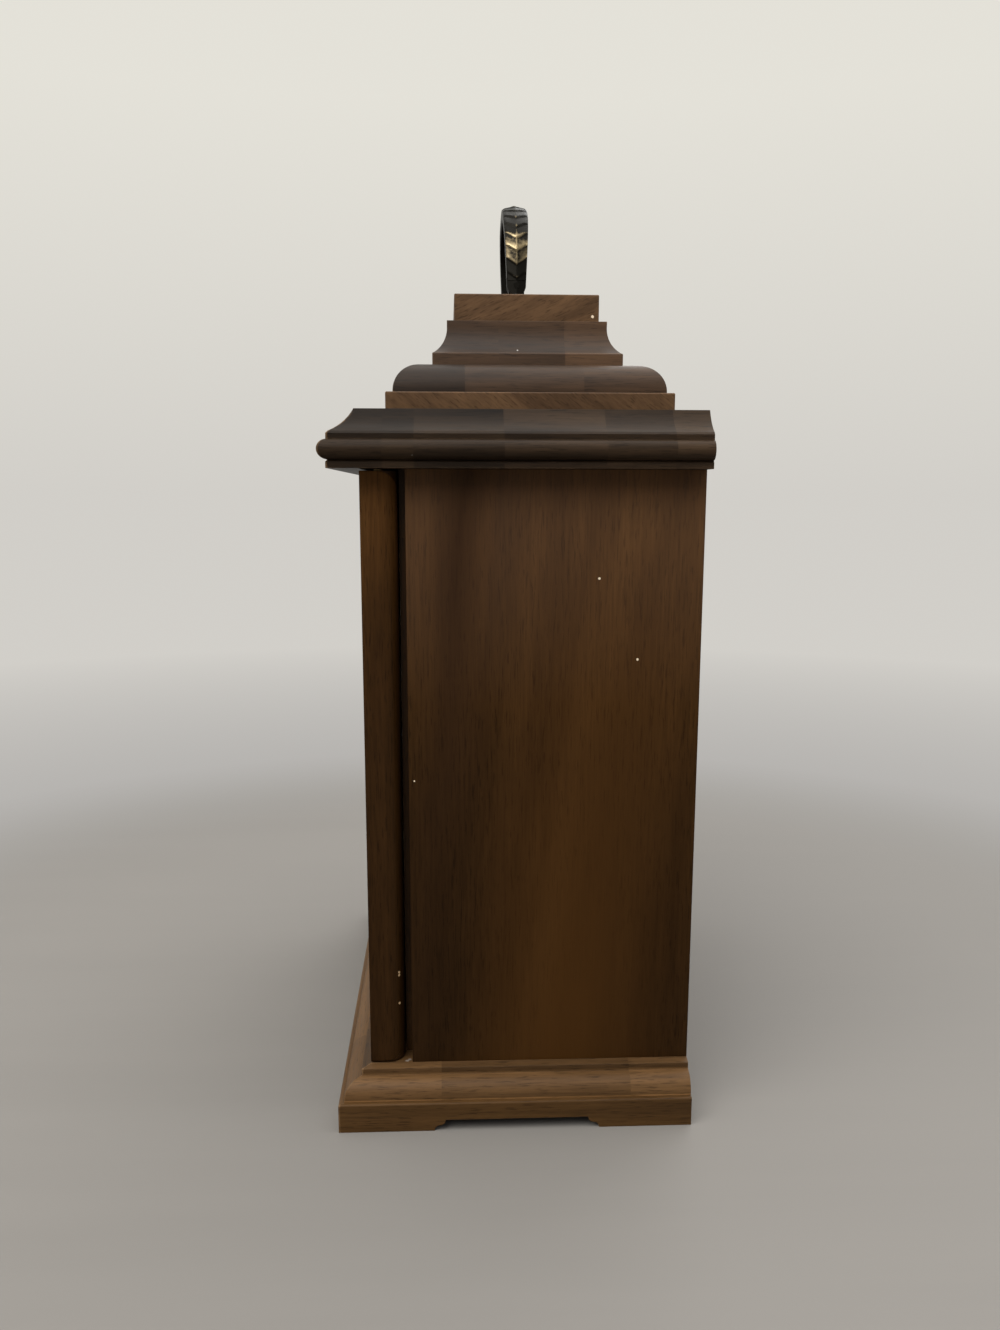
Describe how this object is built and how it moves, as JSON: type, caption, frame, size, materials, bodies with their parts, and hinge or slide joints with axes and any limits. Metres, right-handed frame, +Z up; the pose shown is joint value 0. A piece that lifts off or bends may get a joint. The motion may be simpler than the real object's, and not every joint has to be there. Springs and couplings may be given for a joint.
{
  "type": "bracket clock",
  "caption": "Walnut bracket clock with glazed hinged door, moulded cornice, stepped caddy top, folding brass carrying handle and spring-driven pendulum movement.",
  "frame": {"origin": "on the floor, under the middle of the whole clock's outline", "axes": "+Z up, the dial and its door face -Y, X is the clock's width"},
  "size_m": [0.2868, 0.1684, 0.4412],
  "materials": {
    "walnut_panel": "satin",
    "walnut_door": "satin",
    "walnut_base": "satin",
    "walnut_moulding": "satin",
    "walnut_inside": "matte",
    "clear_glass": "polished",
    "antique_brass": "aged",
    "polished_brass": "polished",
    "silvered_dial": "satin",
    "blued_steel": "gloss",
    "steel": "satin"
  },
  "bodies": {
    "case": {"plinth_front": "walnut_base", "plinth_left": "walnut_base", "plinth_right": "walnut_base", "plinth_back": "walnut_inside", "base_moulding_front": "walnut_base", "base_moulding_left": "walnut_base", "base_moulding_right": "walnut_base", "base_board": "walnut_inside", "side_panel_left": "walnut_panel", "side_panel_right": "walnut_panel", "front_stiles": "walnut_inside", "front_rails": "walnut_inside", "back_rails": "walnut_inside", "pivot_bushes": "polished_brass", "top_board": "walnut_inside", "cornice_front": "walnut_moulding", "cornice_left": "walnut_moulding", "cornice_right": "walnut_moulding", "tier_step": "walnut_moulding", "tier_round": "walnut_moulding", "tier_cove": "walnut_moulding", "cap_block": "walnut_moulding", "seat_board": "walnut_inside", "seat_cleats": "walnut_inside", "handle_posts": "antique_brass", "dial_plate": "polished_brass", "chapter_ring": "silvered_dial", "spandrels": "polished_brass", "movement_front_plate": "polished_brass", "movement_back_plate": "polished_brass", "movement_pillars": "polished_brass", "back_cock": "polished_brass"},
    "front_door": {"door_stile_left": "walnut_door", "door_stile_right": "walnut_door", "door_rail_bottom": "walnut_door", "door_rail_top": "walnut_door", "door_glass": "clear_glass", "door_glass_beads": "walnut_door", "door_knob": "polished_brass", "door_pivot_pins": "polished_brass", "door_catch": "polished_brass"},
    "rear_door": {"back_door": "walnut_panel", "back_door_pins": "polished_brass", "back_door_knob": "polished_brass"},
    "carry_handle": {"handle": "antique_brass", "handle_pins": "antique_brass"},
    "minute_arbor": {"centre_wheel": "polished_brass", "cannon_pinion": "polished_brass", "minute_hand": "blued_steel", "hand_nut": "polished_brass"},
    "hour_pipe": {"hour_wheel": "polished_brass", "hour_hand": "blued_steel"},
    "minute_wheel_body": {"minute_wheel": "polished_brass"},
    "barrel": {"mainspring_barrel": "polished_brass"},
    "winder": {"winding_arbor": "steel"},
    "third_arbor": {"third_wheel": "polished_brass"},
    "escape_arbor": {"escape_wheel": "polished_brass"},
    "anchor_arbor": {"anchor": "steel"},
    "pendulum": {"pendulum_rod": "steel", "pendulum_bob": "polished_brass"}
  },
  "joints": [
    {"name": "front_door_swing", "type": "hinge", "parent": "case", "child": "front_door", "pos_m": [0.119, -0.05983, 0.1664], "axis": [0, 0, 1], "range_deg": [0, 105]},
    {"name": "back_door_swing", "type": "hinge", "parent": "case", "child": "rear_door", "pos_m": [0.1084, 0.07318, 0.1664], "axis": [0, 0, -1], "range_deg": [0, 90]},
    {"name": "handle_fold", "type": "hinge", "parent": "case", "child": "carry_handle", "pos_m": [0, 0.00588, 0.3977], "axis": [1, 0, 0], "range_deg": [-90, 90]},
    {"name": "minute_turn", "type": "hinge", "parent": "case", "child": "minute_arbor", "pos_m": [0, -0.02283, 0.1664], "axis": [0, 1, 0], "continuous": true},
    {"name": "hour_turn", "type": "hinge", "parent": "case", "child": "hour_pipe", "pos_m": [0, -0.03083, 0.1664], "axis": [0, 1, 0], "continuous": true},
    {"name": "minute_wheel_turn", "type": "hinge", "parent": "case", "child": "minute_wheel_body", "pos_m": [-0.01205, -0.02782, 0.1664], "axis": [0, 1, 0], "continuous": true},
    {"name": "barrel_turn", "type": "hinge", "parent": "case", "child": "barrel", "pos_m": [0, -0.00783, 0.13835], "axis": [0, 1, 0], "continuous": true},
    {"name": "third_turn", "type": "hinge", "parent": "case", "child": "third_arbor", "pos_m": [0.01, -0.00783, 0.18492], "axis": [0, 1, 0], "continuous": true},
    {"name": "escape_turn", "type": "hinge", "parent": "case", "child": "escape_arbor", "pos_m": [0, -0.00783, 0.19934], "axis": [0, 1, 0], "continuous": true},
    {"name": "winding_turn", "type": "hinge", "parent": "case", "child": "winder", "pos_m": [0, -0.02782, 0.13835], "axis": [0, 1, 0], "continuous": true},
    {"name": "pendulum_swing", "type": "hinge", "parent": "case", "child": "pendulum", "pos_m": [0, 0.02718, 0.21435], "axis": [0, 1, 0], "range_deg": [-3, 3]},
    {"name": "anchor_rock", "type": "hinge", "parent": "case", "child": "anchor_arbor", "pos_m": [0, -0.00783, 0.21435], "axis": [0, 1, 0], "range_deg": [-3, 3]}
  ],
  "couplings": [
    {"joint": "hour_turn", "follows": "minute_turn", "ratio": 0.083333},
    {"joint": "minute_wheel_turn", "follows": "minute_turn", "ratio": -0.33333},
    {"joint": "barrel_turn", "follows": "minute_turn", "ratio": -0.16667},
    {"joint": "third_turn", "follows": "minute_turn", "ratio": -6},
    {"joint": "escape_turn", "follows": "minute_turn", "ratio": 36},
    {"joint": "anchor_rock", "follows": "pendulum_swing", "ratio": 1}
  ]
}
